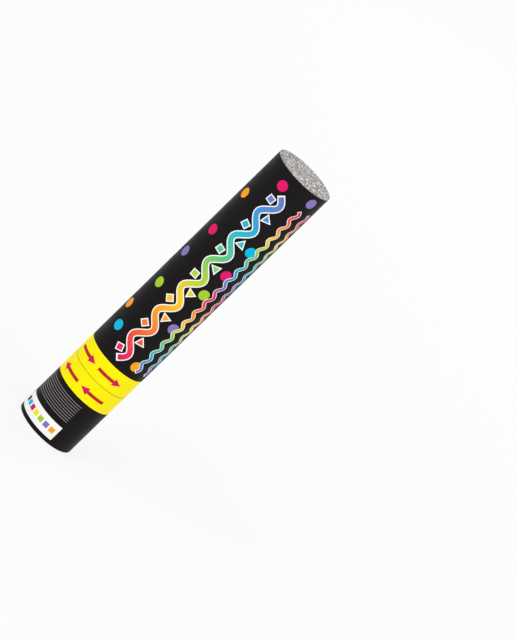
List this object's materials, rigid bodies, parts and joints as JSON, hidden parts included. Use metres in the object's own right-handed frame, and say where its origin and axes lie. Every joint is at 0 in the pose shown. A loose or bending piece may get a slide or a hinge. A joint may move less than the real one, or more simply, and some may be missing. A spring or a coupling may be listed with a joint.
{
  "type": "confetti popper",
  "caption": "Twist-fired confetti popper: a slim printed card tube with a turning base that opens an air bottle and drives a wad and tissue slips out through a glitter disc.",
  "frame": {"origin": "middle of the foot, on the surface that the popper stands on", "axes": "+Z along the barrel from the foot to the muzzle; -Y is the printed front, and +Y is the paper's seam"},
  "size_m": [0.051, 0.051, 0.28],
  "materials": {
    "wound_board": "bare spiral-wound board, matt",
    "printed_barrel_paper": "black and yellow printed paper, satin varnish",
    "printed_base_paper": "black and yellow printed paper, satin varnish",
    "cap_plastic": "moulded black polypropylene, fine spark texture",
    "housing_plastic": "moulded dark grey glass-filled nylon",
    "cam_plastic": "moulded natural acetal, waxy",
    "stop_plastic": "moulded dark grey nylon",
    "valve_plastic": "moulded orange-red acetal",
    "drawn_aluminium": "drawn, with fine circumferential lines",
    "plug_brass": "turned brass",
    "ground_steel": "ground dowel",
    "spring_steel": "stamped spring steel, zinc plated",
    "black_rubber": "moulded nitrile rubber",
    "grey_board": "punched grey board",
    "white_felt": "pressed wool felt",
    "tissue_red": "matt tissue paper, red",
    "tissue_yellow": "matt tissue paper, yellow",
    "tissue_green": "matt tissue paper, green",
    "tissue_blue": "matt tissue paper, blue",
    "tissue_pink": "matt tissue paper, pink",
    "white_card": "uncoated white card",
    "glitter_card": "silver glitter on card"
  },
  "bodies": {
    "barrel": {"barrel_tube": "wound_board", "barrel_wrap": "printed_barrel_paper", "coupling_sleeve": "wound_board", "release_housing": "housing_plastic", "cam_ring": "cam_plastic", "retaining_clip": "spring_steel", "plug_stop": "stop_plastic"},
    "base": {"base_tube": "wound_board", "base_wrap": "printed_base_paper", "base_cap": "cap_plastic", "air_bottle": "drawn_aluminium", "neck_gasket": "black_rubber", "valve_body": "valve_plastic", "crimp_ferrule": "drawn_aluminium", "neck_ring": "black_rubber"},
    "plug": {"valve_plug": "plug_brass", "plug_ring": "black_rubber", "cross_pin": "ground_steel"},
    "wad": {"pusher_wad": "grey_board", "wad_pad": "white_felt"},
    "confetti": {"confetti_red": "tissue_red", "confetti_yellow": "tissue_yellow", "confetti_green": "tissue_green", "confetti_blue": "tissue_blue", "confetti_pink": "tissue_pink", "top_card": "white_card"},
    "muzzle": {"muzzle_disc": "glitter_card"}
  },
  "joints": [
    {"name": "base_twist", "type": "hinge", "parent": "barrel", "child": "base", "pos_m": [0, 0, 0.0615], "axis": [0, 0, -1], "range_deg": [0, 90]},
    {"name": "plug_lift", "type": "slide", "parent": "base", "child": "plug", "axis": [0, 0, 1], "range_m": [0, 0.008]},
    {"name": "wad_slide", "type": "slide", "parent": "barrel", "child": "wad", "axis": [0, 0, 1], "range_m": [0, 0.167]},
    {"name": "confetti_slide", "type": "slide", "parent": "wad", "child": "confetti", "axis": [0, 0, 1], "range_m": [0, 0.06]},
    {"name": "muzzle_pop", "type": "slide", "parent": "confetti", "child": "muzzle", "axis": [0, 0, 1], "range_m": [0, 0.04]}
  ],
  "couplings": [
    {"joint": "plug_lift", "follows": "base_twist", "m_per_rad": 0.005092}
  ]
}
